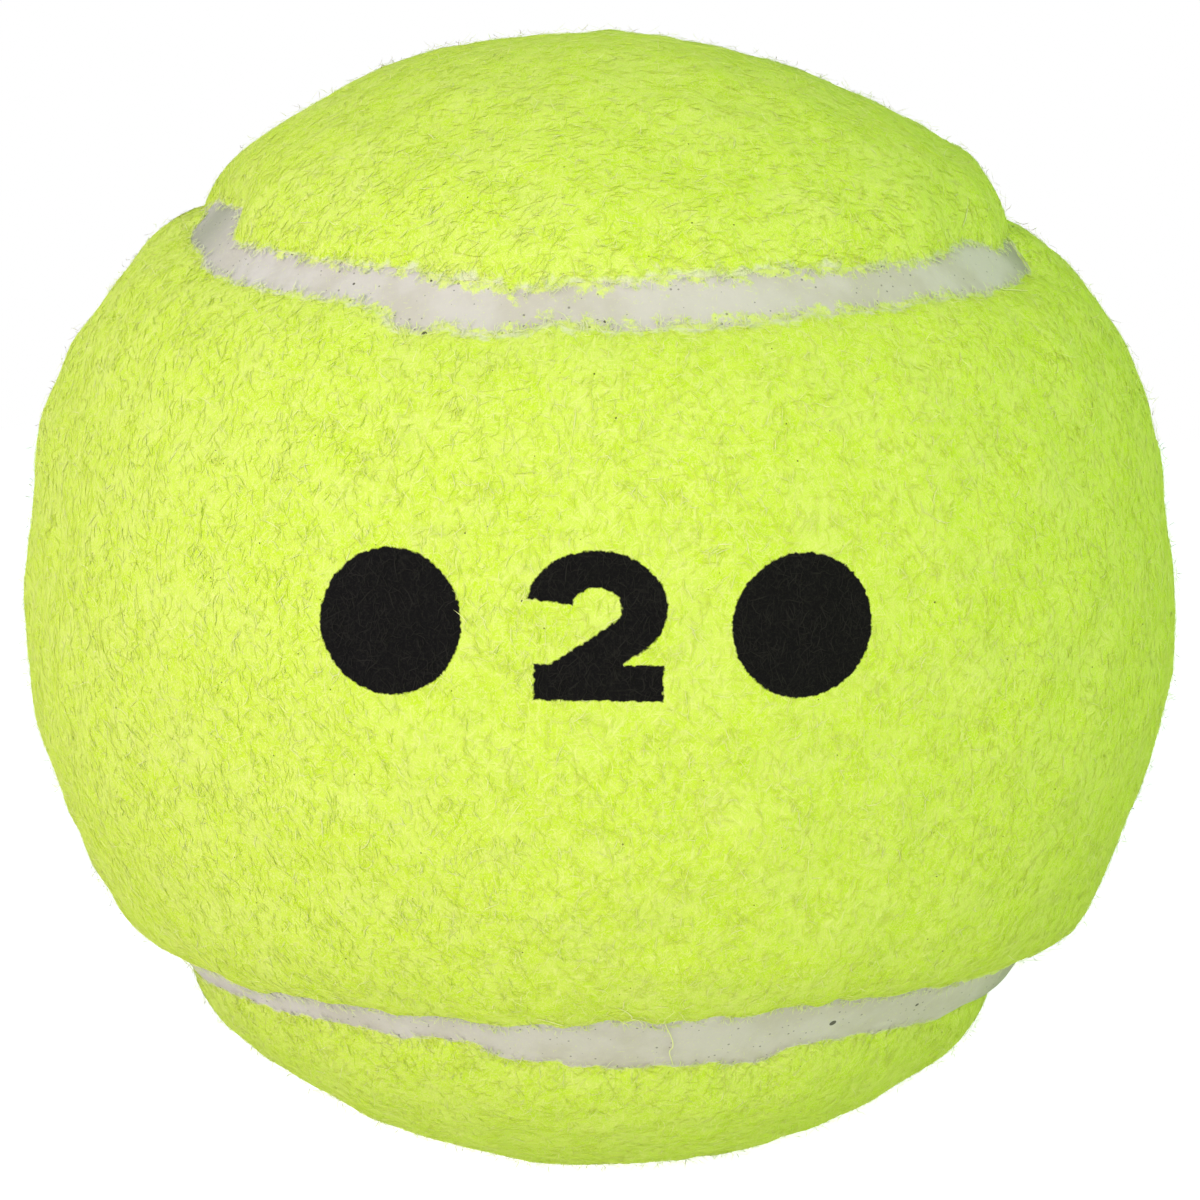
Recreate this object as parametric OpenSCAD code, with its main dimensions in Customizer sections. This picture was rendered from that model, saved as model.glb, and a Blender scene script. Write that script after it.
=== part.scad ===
// Tennis ball: a gas-filled rubber core of two bonded half-shells, covered by two
// interlocking dumbbell panels of felt with a rubber seam between them.
// The origin is the ball's centre and +Z is up. The front panel's waist faces -Y and
// its two lobes wrap round to +X and -X. The back panel is the same panel, turned by
// half a turn about the line between +X and +Z, so its lobes are the top and the bottom.

/* [Core] */
// Outer diameter of the rubber core
core_d = 60; // [50:0.5:70]
// Wall of each half-shell
core_wall = 3.4; // [2.5:0.1:5]
// Thickness of the cement line that bonds the half-shells' rims
joint_t = 0.2; // [0.1:0.05:0.5]
// How far that cement is squeezed into the core beyond the rims
joint_bead = 0.6; // [0.3:0.1:1.2]

/* [Felt cover] */
// Thickness of the cement coat that the panels are bonded with
coat_t = 0.3; // [0.2:0.05:0.6]
// Thickness of a felt panel at its middle
felt_t = 2.9; // [2.4:0.1:4]
// Thickness of a felt panel at its cut edge
felt_edge_t = 1.9; // [1.8:0.05:2.3]
// Width of the band in which the felt rounds down to its edge
felt_edge_run = 4.2; // [2:0.1:6]
// Angle at the ball's centre from the middle of a panel's waist to the seam
waist_angle = 30; // [26:0.5:34]
// Angle by which the seam swings out beside each lobe
lobe_swing = 18.7; // [17:0.1:20]

/* [Seam] */
// Distance between the edges of the two panels
seam_w = 2.2; // [1.4:0.1:2.8]
// Thickness of the rubber at the seam's two sides
seam_t = 1.75; // [1.3:0.05:1.75]
// How much lower the seam's face lies at its middle
seam_dip = 0.12; // [0.05:0.01:0.2]

/* [Fits] */
// Clearance drawn between the curved faces of bonded rigid pieces
bond_gap = 0.05; // [0.04:0.01:0.08]
// Clearance under the felt and the seam, which is more than their flat facets dip
felt_gap = 0.15; // [0.13:0.01:0.25]
// Clearance drawn between the seam and the panels' edges
side_gap = 0.05; // [0.04:0.01:0.1]

/* [Hidden] */

core_r = core_d / 2;
core_inner_r = core_r - core_wall;
coat_inner_r = core_r + bond_gap;
coat_r = coat_inner_r + coat_t;
felt_inner_r = coat_r + felt_gap;
felt_edge_r = felt_inner_r + felt_edge_t;
felt_r = felt_inner_r + felt_t;
seam_side_r = felt_inner_r + seam_t;

// Steps along the whole seam, a number that 4 divides
seam_steps = 96;
// Steps each side of a lobe's tip whose rows all end in the lobe's centre
fan_steps = 8;
// Rows in the rounded edge, and rows from there to the panel's middle line
edge_rows = 5;
field_rows = 7;
all_rows = edge_rows + field_rows;
// Steps along half of the panel's middle line
spine_steps = seam_steps / 4 - fan_steps;
// Angle from the middle of the waist to the centre of a lobe
lobe_angle = 105;
// Points across the seam's face
seam_cuts = 4;
round_fn = 128;

felt_colour = "#dcf65c";
seam_colour = "#d6d5c0";
rubber_colour = "#4a4744";
cement_colour = "#d9c9a3";

function unit(v) = v / norm(v);
function arc_angle(length, radius) = length / radius * 180 / PI;

// The seam's mid-line at turn u of 0 to 360 is a wave round the ball, which splits the sphere
// into two like halves. With +Y as north, this is its latitude.
function seam_lat(u) = (90 - waist_angle) * cos(2 * u);
// Its longitude, counted from +X to +Z
function seam_lon(u) = u + lobe_swing * sin(4 * u);
function seam_dir(u) =
    let (lat = seam_lat(u), lon = seam_lon(u))
    [cos(lat) * cos(lon), sin(lat), cos(lat) * sin(lon)];

// The direction in which the seam runs there, from the rates at which the two angles change
function seam_run(u) =
    let (lat = seam_lat(u), lon = seam_lon(u),
         lat_rate = -2 * (90 - waist_angle) * sin(2 * u),
         lon_rate = 180 / PI + 4 * lobe_swing * cos(4 * u))
    [-sin(lat) * cos(lon) * lat_rate - cos(lat) * sin(lon) * lon_rate,
     cos(lat) * lat_rate,
     -sin(lat) * sin(lon) * lat_rate + cos(lat) * cos(lon) * lon_rate];

// The direction of a point at a distance along the surface from the seam, towards the front panel
function beside_seam(u, distance, radius) =
    let (side = unit(cross(seam_dir(u), seam_run(u))), angle = arc_angle(distance, radius))
    seam_dir(u) * cos(angle) + side * sin(angle);

// The panel's middle line runs from the centre of its right lobe, step 0, to that of its left one
function spine_dir(step) =
    let (angle = lobe_angle * (1 - step / spine_steps))
    [sin(angle), -cos(angle), 0];
function spine_step(j) = max(0, min(2 * spine_steps, min(j, seam_steps - j) - fan_steps));

// The rounded edge is a quarter of an ellipse: its row i lies at this turn of it
function edge_turn(i) = 90 * i / edge_rows;
function edge_inset(i) = seam_w / 2 + felt_edge_run * (1 - cos(edge_turn(i)));
function row_r(i) = i < edge_rows ? felt_edge_r + (felt_r - felt_edge_r) * sin(edge_turn(i)) : felt_r;

// Direction of the panel's point in row i, at step j of the seam
function panel_dir(i, j) =
    let (u = 360 * j / seam_steps, share = (i - edge_rows) / field_rows)
    i <= edge_rows
        ? beside_seam(u, edge_inset(i), felt_r)
        : unit(beside_seam(u, edge_inset(edge_rows), felt_r) * (1 - share)
               + spine_dir(spine_step(j)) * share);

// Faces between two rings of points, whose first points are numbered low and high.
// With flip they face the other way.
function ring_faces(low, high, count, flip) = [
    for (j = [0 : count - 1])
    let (k = (j + 1) % count)
    each flip
        ? [[low + j, high + k, high + j], [low + j, low + k, high + k]]
        : [[low + j, high + j, high + k], [low + j, high + k, low + k]]];

// Faces between the last ring and the points of the middle line, where rows share their ends
function spine_faces(low, spine, flip) = [
    for (j = [0 : seam_steps - 1])
    let (k = (j + 1) % seam_steps, p = spine + spine_step(j), q = spine + spine_step(k))
    each [
        if (p != q) flip ? [low + j, q, p] : [low + j, p, q],
        flip ? [low + j, low + k, q] : [low + j, q, low + k]]];

// One felt panel: its outer face, its cut edge and the inner face that is bonded to the coat.
// The inner face skips the rows of the rounded edge.
module felt_panel() {
    inner_rows = [0, for (i = [edge_rows : all_rows - 1]) i];
    outer_points = [for (i = [0 : all_rows - 1]) for (j = [0 : seam_steps - 1])
        panel_dir(i, j) * row_r(i)];
    inner_points = [for (i = inner_rows) for (j = [0 : seam_steps - 1])
        panel_dir(i, j) * felt_inner_r];
    outer_spine = [for (step = [0 : 2 * spine_steps]) spine_dir(step) * felt_r];
    inner_spine = [for (step = [0 : 2 * spine_steps]) spine_dir(step) * felt_inner_r];
    inner_start = len(outer_points);
    outer_spine_start = inner_start + len(inner_points);
    inner_spine_start = outer_spine_start + len(outer_spine);
    faces = concat(
        [for (i = [0 : all_rows - 2])
            each ring_faces(i * seam_steps, (i + 1) * seam_steps, seam_steps, false)],
        spine_faces((all_rows - 1) * seam_steps, outer_spine_start, false),
        [for (i = [0 : len(inner_rows) - 2])
            each ring_faces(inner_start + i * seam_steps, inner_start + (i + 1) * seam_steps,
                            seam_steps, true)],
        spine_faces(inner_start + (len(inner_rows) - 1) * seam_steps, inner_spine_start, true),
        ring_faces(inner_start, 0, seam_steps, false));
    polyhedron(concat(outer_points, inner_points, outer_spine, inner_spine), faces, convexity = 6);
}

// Half of the ball's rubber core: a hemisphere with a flat rim, which stops short of the
// joint's plane by half of the cement line
module core_half() {
    rotate_extrude($fn = round_fn)
        intersection() {
            difference() {
                circle(r = core_r, $fn = round_fn);
                circle(r = core_inner_r, $fn = round_fn);
            }
            translate([0, joint_t / 2])
                square([core_r, core_r]);
        }
}

module core_shell_upper() {
    color(rubber_colour) core_half();
}

module core_shell_lower() {
    color(rubber_colour) mirror([0, 0, 1]) core_half();
}

// The cement between the rims, with the bead that is squeezed out into the core
module core_joint_cement() {
    color(cement_colour)
        rotate_extrude($fn = round_fn) {
            translate([core_inner_r - joint_bead, -joint_t / 2])
                square([core_wall + joint_bead, joint_t]);
        }
}

// The coat of cement round the whole core
module cover_cement() {
    color(cement_colour)
        rotate_extrude($fn = round_fn)
            intersection() {
                difference() {
                    circle(r = coat_r, $fn = round_fn);
                    circle(r = coat_inner_r, $fn = round_fn);
                }
                translate([0, -coat_r])
                    square([coat_r, 2 * coat_r]);
            }
}

module felt_panel_front() {
    color(felt_colour) felt_panel();
}

module felt_panel_back() {
    color(felt_colour) rotate(180, [1, 0, 1]) felt_panel();
}

// The rubber that fills the groove: one closed loop with a slightly hollow face.
// Each section starts and ends on the coat and crosses the face in between.
module seam_cement() {
    half = seam_w / 2 - side_gap;
    section = concat(
        [[-half, felt_inner_r]],
        [for (i = [0 : seam_cuts])
            let (across = 2 * i / seam_cuts - 1)
            [half * across, seam_side_r - seam_dip * (1 - across * across)]],
        [[half, felt_inner_r]]);
    count = len(section);
    points = [for (p = section) for (j = [0 : seam_steps - 1])
        beside_seam(360 * j / seam_steps, p.x, felt_r) * p.y];
    faces = [for (i = [0 : count - 1])
        each ring_faces(i * seam_steps, (i + 1) % count * seam_steps, seam_steps, false)];
    color(seam_colour) polyhedron(points, faces, convexity = 6);
}

core_shell_upper();
core_shell_lower();
core_joint_cement();
cover_cement();
felt_panel_front();
felt_panel_back();
seam_cement();
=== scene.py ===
"""Tennis ball: two crowned felt panels with a real nap of fibres, the rubber seam in the
groove between them and the printed mark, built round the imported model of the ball.
Lengths are in millimetres until a mesh is made."""
from collections import namedtuple
import bpy
import numpy as np
from mathutils import Matrix, Vector


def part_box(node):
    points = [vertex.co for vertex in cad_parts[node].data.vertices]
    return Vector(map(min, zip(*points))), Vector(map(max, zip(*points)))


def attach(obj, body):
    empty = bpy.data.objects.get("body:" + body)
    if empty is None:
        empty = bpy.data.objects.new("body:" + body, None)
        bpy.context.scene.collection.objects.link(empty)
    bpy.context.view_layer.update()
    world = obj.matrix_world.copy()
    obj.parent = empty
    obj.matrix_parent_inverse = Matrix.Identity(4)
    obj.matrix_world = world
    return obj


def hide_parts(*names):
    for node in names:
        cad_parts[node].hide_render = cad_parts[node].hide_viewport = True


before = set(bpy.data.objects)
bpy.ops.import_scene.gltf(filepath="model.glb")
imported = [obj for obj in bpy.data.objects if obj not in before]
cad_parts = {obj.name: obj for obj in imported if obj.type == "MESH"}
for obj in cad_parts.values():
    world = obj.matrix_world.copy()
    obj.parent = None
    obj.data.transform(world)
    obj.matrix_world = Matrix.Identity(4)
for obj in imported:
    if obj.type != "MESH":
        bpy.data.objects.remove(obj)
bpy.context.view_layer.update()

MM = 0.001

# Sizes of the ball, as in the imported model
FELT_R = -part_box("felt_panel_front")[0].y / MM
FELT_T = 2.9
FELT_INNER_R = FELT_R - FELT_T
EDGE_RUN = 4.2
SEAM_W = 2.2
SEAM_T = 1.75
SEAM_SIDE_R = FELT_INNER_R + SEAM_T
SEAM_DIP = 0.12
WAIST_ANGLE = np.radians(30)
LOBE_SWING = np.radians(18.7)
LOBE_ANGLE = np.radians(105)

# How deep the cloth lies under the nap's face, and its edge under the rubber's face
NAP_DEPTH = 0.15
EDGE_DEPTH = 0.03
EDGE_R = SEAM_SIDE_R - EDGE_DEPTH

# The cloth's mesh: steps along the seam, those each side of a lobe's tip that share its centre,
# rows of the rounded edge, of the field and of the inner face
CLOTH_STEPS = 1200
CLOTH_FAN = 100
EDGE_ROWS = 12
FIELD_ROWS = 40
INNER_ROWS = 6

# The uneven surface of the felt: wavelength and height of each size of lump
FELT_LUMPS = ((14.0, 0.10), (5.0, 0.05), (2.8, 0.04))


def unit(vectors):
    """Vectors scaled to length 1 along the last axis."""
    return vectors / np.linalg.norm(vectors, axis=-1, keepdims=True)


def waves(points, length, seed):
    """A smooth random field of spread 1: plane waves of one length, added up in seeded
    random directions and phases."""
    count = 20
    rng = np.random.default_rng(seed)
    directions = unit(rng.normal(size=(count, 3)))
    phases = rng.uniform(0, 2 * np.pi, count)
    field = np.zeros(points.shape[:-1])
    for direction, phase in zip(directions, phases):
        field += np.sin(points @ direction * (2 * np.pi / length) + phase)
    return field * np.sqrt(2 / count)


def seam_frame(turn):
    """The seam's mid-line at a turn u of 0 to 2 pi, and the direction across it towards the
    front panel. With +Y as north the line is a wave of latitude (90 degrees - waist angle)
    cos 2u and longitude u + swing sin 4u, and the way across is the line crossed with the
    way that it runs."""
    lat = (np.pi / 2 - WAIST_ANGLE) * np.cos(2 * turn)
    lon = turn + LOBE_SWING * np.sin(4 * turn)
    lat_rate = -2 * (np.pi / 2 - WAIST_ANGLE) * np.sin(2 * turn)
    lon_rate = 1 + 4 * LOBE_SWING * np.cos(4 * turn)
    sin_lat, cos_lat = np.sin(lat), np.cos(lat)
    sin_lon, cos_lon = np.sin(lon), np.cos(lon)
    line = np.stack([cos_lat * cos_lon, sin_lat, cos_lat * sin_lon], -1)
    along = np.stack([
        -sin_lat * cos_lon * lat_rate - cos_lat * sin_lon * lon_rate,
        cos_lat * lat_rate,
        -sin_lat * sin_lon * lat_rate + cos_lat * cos_lon * lon_rate], -1)
    return line, unit(np.cross(line, along))


def beside_seam(turn, distance):
    """Directions at a distance from the seam, measured along the felt's surface: the line
    times cos(angle) plus the way across times sin(angle), with angle = distance / radius."""
    line, across = seam_frame(turn)
    angle = np.asarray(distance)[..., None] / FELT_R
    return line * np.cos(angle) + across * np.sin(angle)


# Where an edge was cut or laid off its line: from turn to turn in degrees, how far it is drawn
# back from the seam at the first turn and at the last, and the length that its ends fade in
FRONT_CUTS = (
    (49.5, 57.8, -2.4, -2.4, 0.4), (58.3, 94.5, 0.1, 0.35, 2.0), (94.6, 102.7, 0.6, 1.25, 0.35),
    (102.8, 113.5, 0.2, 0.1, 0.5), (113.5, 118, -0.1, -0.4, 0.8), (118, 124, -1.2, -1.2, 0.8),
    (124, 131, -2.8, -2.8, 0.8), (225, 246, 1.7, 1.35, 1.0), (246, 256, 0.7, 1.0, 1.0),
    (256, 261.5, 0.6, 0.4, 0.6), (264.5, 267.3, 0.2, 0.2, 0.5), (267.4, 269.4, -0.1, -0.1, 0.4),
    (269.5, 276.5, 0.3, 0.3, 0.5), (276.5, 280.5, 0.6, 0.6, 0.4), (280.5, 306, 1.35, 2.0, 0.5))
BACK_CUTS = (
    (56, 61.3, -0.3, -0.3, 0.5), (62.5, 66, 0.6, 0.6, 0.6), (66.5, 73.5, 0.05, -0.3, 0.6),
    (74, 80, 0.1, 0.3, 0.4), (80, 90, 0.2, 0.15, 1.0), (93, 101, -0.5, -0.4, 0.8),
    (117.5, 126.5, 1.9, 1.6, 1.0), (225, 246, -2.7, -2.0, 1.0), (246, 256.5, -1.6, -1.1, 1.0),
    (257, 261.8, -0.75, -0.75, 0.5), (262.2, 267, 0.4, 0.8, 0.5), (267.2, 282.5, 1.2, 1.05, 0.5),
    (283.7, 296, -0.4, -0.8, 0.5), (296, 312, -1.7, -1.7, 0.8))

# The unevenness of a cut edge: wavelength and height of its steps, its bites and its nibbles
EDGE_STEPS = (13.0, 0.06)
EDGE_BITES = (4.2, 0.07)
EDGE_NIBBLES = (1.3, 0.07)


def edge_half(turn, seed, cuts):
    """Distance from the seam's mid-line to a panel's cut edge: half the seam's width, a ramp
    with faded ends for each cut, and random waves: steps and bites, flattened by tanh, and
    nibbles."""
    degrees = np.degrees(turn) % 360
    half = np.full(np.shape(turn), SEAM_W / 2)
    for start, end, first, last, fade in cuts:
        share = np.clip((degrees - start) / (end - start), 0, 1)
        inside = (np.tanh((degrees - start) / fade) - np.tanh((degrees - end) / fade)) / 2
        half += inside * (first + (last - first) * share)
    spots = seam_frame(turn)[0] * FELT_R
    steps = EDGE_STEPS[1] * np.tanh(3 * waves(spots, EDGE_STEPS[0], seed))
    bites = (EDGE_BITES[1] * np.tanh(2 * waves(spots, EDGE_BITES[0], seed + 1))
             + EDGE_NIBBLES[1] * waves(spots, EDGE_NIBBLES[0], seed + 2))
    return half + steps + bites


# Swells and dents of the felt that show on the outline: the angle round the view from its
# right side, anticlockwise, the reach in degrees and the height
SWELLS = (
    (24, 11, 0.6), (-35, 10, 0.4), (156, 10, 0.4), (76, 11, -0.75), (98, 10, -0.35),
    (-87, 9, -0.4), (-120, 9, -0.4))
# The angle from the view's axis to the outline, and how far the view looks down
OUTLINE_ANGLE = np.radians(67.4)
VIEW_RISE = np.radians(7.86)


def swells(directions):
    """Height of the swells: each is a bell round a place on the circle that the ball's outline
    follows from the front."""
    total = np.zeros(directions.shape[:-1])
    for angle, reach, height in SWELLS:
        a = np.radians(angle)
        right = np.sin(OUTLINE_ANGLE) * np.cos(a)
        up = np.sin(OUTLINE_ANGLE) * np.sin(a)
        near = np.cos(OUTLINE_ANGLE)
        place = np.array([
            right, -near * np.cos(VIEW_RISE) + up * np.sin(VIEW_RISE),
            near * np.sin(VIEW_RISE) + up * np.cos(VIEW_RISE)])
        off = np.arccos(np.clip(directions @ place, -1, 1)) / np.radians(reach)
        total += height * np.exp(-off ** 2)
    return total


# The turn of the seam where the felt's edges are most ragged, the reach of that, how ragged
# they are there, and how ragged the felt and the rubber are at least
RAGGED_TURN = np.radians(88)
RAGGED_REACH = np.radians(33)
RAGGED_RISE = 1.1
FELT_RAGGED = 0.06
RUBBER_RAGGED = 0.15


def raggedness(directions, least):
    """How ragged the felt's edges are at places on the ball: a bell round the middle of the
    upper seam in front, over an even least value."""
    angle = np.arccos(np.clip(directions @ seam_frame(RAGGED_TURN)[0], -1, 1))
    return least + RAGGED_RISE * np.exp(-(angle / RAGGED_REACH) ** 2)


# Points along a panel's cut edge
EDGE_POINTS = 4096


class Panel:
    """One felt panel. It is worked out in the front panel's place, and the back panel's points
    are then turned by half a turn about the line between +X and +Z."""

    def __init__(self, name, back, cuts, seed):
        self.name = name
        self.back = back
        self.cuts = cuts
        self.seed = seed
        self.edge_line, self.edge_inward = self.edge_table()

    def place(self, points):
        """Points from the panel's own place to its place on the ball: x and z change places
        and y changes sign on the back panel."""
        if not self.back:
            return points
        return np.stack([points[..., 2], -points[..., 1], points[..., 0]], -1)

    def edge(self, turn):
        """The edge's distance from the seam. The back panel meets the seam's turn u at
        its own turn 90 degrees - u."""
        return edge_half(np.pi / 2 - turn if self.back else turn, self.seed, self.cuts)

    def edge_table(self):
        """Points evenly spaced along the cut edge and the directions from them into the panel,
        which are the points crossed with the way that the edge runs."""
        turns = np.linspace(0, 2 * np.pi, 4 * EDGE_POINTS + 1)
        line = beside_seam(turns, self.edge(turns))
        steps = np.linalg.norm(np.diff(line, axis=0), axis=1)
        length = np.concatenate([[0], np.cumsum(steps)])
        wanted = np.linspace(0, length[-1], EDGE_POINTS, endpoint=False)
        turns = np.interp(wanted, length, turns)
        line = beside_seam(turns, self.edge(turns))
        ahead = np.roll(line, -1, 0) - np.roll(line, 1, 0)
        return line, unit(np.cross(line, ahead))

    def inset(self, directions):
        """Distance of each direction inside the cut edge, negative outside it: the angle to
        the edge's nearest point, with the sign of the side that it lies on."""
        flat = directions.reshape(-1, 3).astype(np.float32)
        line = self.edge_line.astype(np.float32).T
        nearest = np.concatenate([(part @ line).argmax(1) for part in np.array_split(flat, 64)])
        off = flat - self.edge_line[nearest]
        side = np.sign(np.sum(off * self.edge_inward[nearest], 1))
        angle = 2 * np.arcsin(np.clip(np.linalg.norm(off, axis=1) / 2, 0, 1))
        return (angle * side * FELT_R).reshape(directions.shape[:-1])

    def lumps(self, directions):
        """Height of the felt's unevenness: random waves of falling size and the swells."""
        spots = directions * FELT_R
        waved = sum(height * waves(spots, length, self.seed + 10 + i)
                    for i, (length, height) in enumerate(FELT_LUMPS))
        return waved + swells(self.place(directions))


FRONT = Panel("front", False, FRONT_CUTS, 100)
BACK = Panel("back", True, BACK_CUTS, 200)


# Lengths in which the cloth's slope sets in at its edge and the fibres' ground rises outside it
EDGE_SOFTNESS = 0.15
EDGE_STEP_UP = 0.1


def rounding(inset):
    """How much of its height the felt has reached at a distance inside its cut edge: with s
    the share of the rounded band that is left, 1 - s^2, less a short tail at the edge, so that
    the cloth leaves the rubber without a crease."""
    inside = np.maximum(inset, 0)
    tail = np.exp(-inside / EDGE_SOFTNESS)
    return (1 - (1 - np.clip(inside / EDGE_RUN, 0, 1)) ** 2) * (1 - tail)


def felt_radius(panel, directions, inset):
    """Radius of the cloth at a distance inside its cut edge: from the edge, just under the
    rubber's face, it rises to the crown, and the lumps grow with it. Outside the edge, where
    only fibres reach, it is the rubber's face."""
    outside = np.clip(-inset / EDGE_STEP_UP, 0, 1)
    crown = FELT_R - NAP_DEPTH - EDGE_R + panel.lumps(directions)
    return EDGE_R + rounding(inset) * crown + outside * (SEAM_SIDE_R - EDGE_R)


def triangles_between(low, high):
    """Triangles that join two closed rings of point numbers; those with no area are left out."""
    low_next = np.roll(low, -1)
    high_next = np.roll(high, -1)
    found = np.concatenate([
        np.stack([low, high, high_next], 1), np.stack([low, high_next, low_next], 1)])
    whole = (found != np.roll(found, -1, 1)).all(1)
    return found[whole]


def outwards(points, triangles):
    """The triangles with their faces outwards: turned round if the volume they close, a sixth
    of the sum of each corner triple's product, is negative."""
    a, b, c = (points[triangles[:, i]] for i in range(3))
    volume = np.sum(a * np.cross(b, c))
    return triangles if volume > 0 else triangles[:, ::-1]


def new_object(name, data):
    """An object of the scene with the given mesh, camera or light."""
    made = bpy.data.objects.new(name, data)
    bpy.context.scene.collection.objects.link(made)
    return made


def make_piece(name, points, triangles, material):
    """A mesh object at the origin, from points in millimetres and triangles, which rides on
    the ball."""
    mesh = bpy.data.meshes.new(name)
    count = len(triangles)
    mesh.vertices.add(len(points))
    mesh.vertices.foreach_set("co", (points * MM).astype(np.float32).ravel())
    mesh.loops.add(3 * count)
    mesh.loops.foreach_set("vertex_index", triangles.astype(np.int32).ravel())
    mesh.polygons.add(count)
    mesh.polygons.foreach_set("loop_start", np.arange(0, 3 * count, 3, dtype=np.int32))
    mesh.polygons.foreach_set("use_smooth", np.full(count, True))
    mesh.update(calc_edges=True)
    mesh.materials.append(material)
    piece = new_object(name, mesh)
    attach(piece, "root")
    return piece


def set_values(piece, name, values):
    """A named number on each point of a piece, which its material reads."""
    layer = piece.data.attributes.new(name, "FLOAT", "POINT")
    layer.data.foreach_set("value", values.astype(np.float32).ravel())


def cloth_rows(panel):
    """Directions of the cloth's outer rows, each a ring along the seam. The edge's rows lie
    closer together towards the cut, at 1 - cos of evenly spaced turns, and the field's rows
    blend from the last of those to the middle line, a great circle through both lobes' centres."""
    turns = np.linspace(0, 2 * np.pi, CLOTH_STEPS, endpoint=False)
    half = panel.edge(turns)
    insets = EDGE_RUN * (1 - np.cos(np.linspace(0, np.pi / 2, EDGE_ROWS + 1)))
    directions = [beside_seam(turns, half + inset) for inset in insets]
    spine, step_of = cloth_spine()
    for share in np.arange(1, FIELD_ROWS) / FIELD_ROWS:
        directions.append(unit(directions[EDGE_ROWS] * (1 - share) + spine[step_of] * share))
    return np.array(directions)


def cloth_spine():
    """The middle line's directions, from one lobe's centre to the other's, and the number of
    the one that each step along the seam leads to. Steps near a lobe's tip share its centre."""
    steps = CLOTH_STEPS // 4 - CLOTH_FAN
    angles = LOBE_ANGLE * (1 - np.arange(2 * steps + 1) / steps)
    line = np.stack([np.sin(angles), -np.cos(angles), np.zeros_like(angles)], -1)
    folded = np.minimum(np.arange(CLOTH_STEPS), CLOTH_STEPS - np.arange(CLOTH_STEPS))
    return line, np.clip(folded - CLOTH_FAN, 0, 2 * steps)


# How far the cloth's normals lean towards the radius
CLOTH_LEAN = 1.2


def felt_cloth(panel, material):
    """The panel as one closed sheet of thick felt: inner middle line, inner face, cut edge,
    rounded edge, outer face and outer middle line, one ring after the other. The outer face
    is moved in and out by the felt's lumps. The normals lean towards the radius, as a nap
    hides the slope of the cloth under it."""
    directions = cloth_rows(panel)
    spine, step_of = cloth_spine()
    inset = np.maximum(panel.inset(directions), 0)
    outer = directions * felt_radius(panel, directions, inset)[..., None]
    picked = np.linspace(len(directions) - 1, 0, INNER_ROWS).astype(int)
    inner = directions[picked] * FELT_INNER_R
    outer_spine = spine * felt_radius(panel, spine, EDGE_RUN)[:, None]
    points = np.concatenate([
        spine * FELT_INNER_R, inner.reshape(-1, 3), outer.reshape(-1, 3), outer_spine])
    start = len(spine)
    rings = [step_of]
    for row in range(len(inner) + len(outer)):
        rings.append(start + row * CLOTH_STEPS + np.arange(CLOTH_STEPS))
    rings.append(len(points) - len(spine) + step_of)
    triangles = np.concatenate([triangles_between(a, b) for a, b in zip(rings, rings[1:])])
    piece = make_piece(f"felt_{panel.name}", panel.place(points), outwards(points, triangles),
                       material)
    edge = np.full(len(points), EDGE_RUN)
    edge[start:-len(spine)] = np.concatenate([inset[picked].ravel(), inset.ravel()])
    set_values(piece, "margin", edge / raggedness(panel.place(unit(points)), FELT_RAGGED))
    own = np.empty(3 * len(points), np.float32)
    piece.data.vertex_normals.foreach_get("vector", own)
    own = own.reshape(-1, 3)
    radial = unit(panel.place(points))
    side = np.sign(np.sum(own * radial, 1, keepdims=True))
    piece.data.normals_split_custom_set_from_vertices(unit(own + CLOTH_LEAN * side * radial))
    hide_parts(f"felt_panel_{panel.name}")
    outer_start = start + len(inner) * CLOTH_STEPS
    face = triangles[(triangles >= outer_start).all(1)]
    return piece, points, face


def roots_on(points, triangles, count, rng):
    """Random places on triangles, as many to each as its area asks for."""
    a, b, c = (points[triangles[:, i]] for i in range(3))
    area = np.linalg.norm(np.cross(b - a, c - a), axis=1)
    picked = rng.choice(len(triangles), count, p=area / area.sum())
    s = np.sqrt(rng.uniform(0, 1, count))[:, None]
    t = rng.uniform(0, 1, count)[:, None]
    return a[picked] * (1 - s) + b[picked] * s * (1 - t) + c[picked] * s * t


def tangents(roots):
    """Two directions at right angles to each other and to each root's own direction."""
    level = unit(np.cross(unit(roots), [0.31, 0.42, 0.85]))
    return level, np.cross(unit(roots), level)


# Points of a nap fibre's path, how far its heading wiggles and how many waves that has
FIBRE_RINGS = 4
WIGGLE = (0.1, 0.5)
WIGGLE_WAVES = (0.6, 1.6)
# Distance between the tufts in which the nap's tips stand out, their height as a share of the
# highest tip, and the share of its height that a tip has between them
TUFT_LENGTH = 2.0
TUFT_HEIGHT = 0.3
TUFT_LEAST = 0.2


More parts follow.
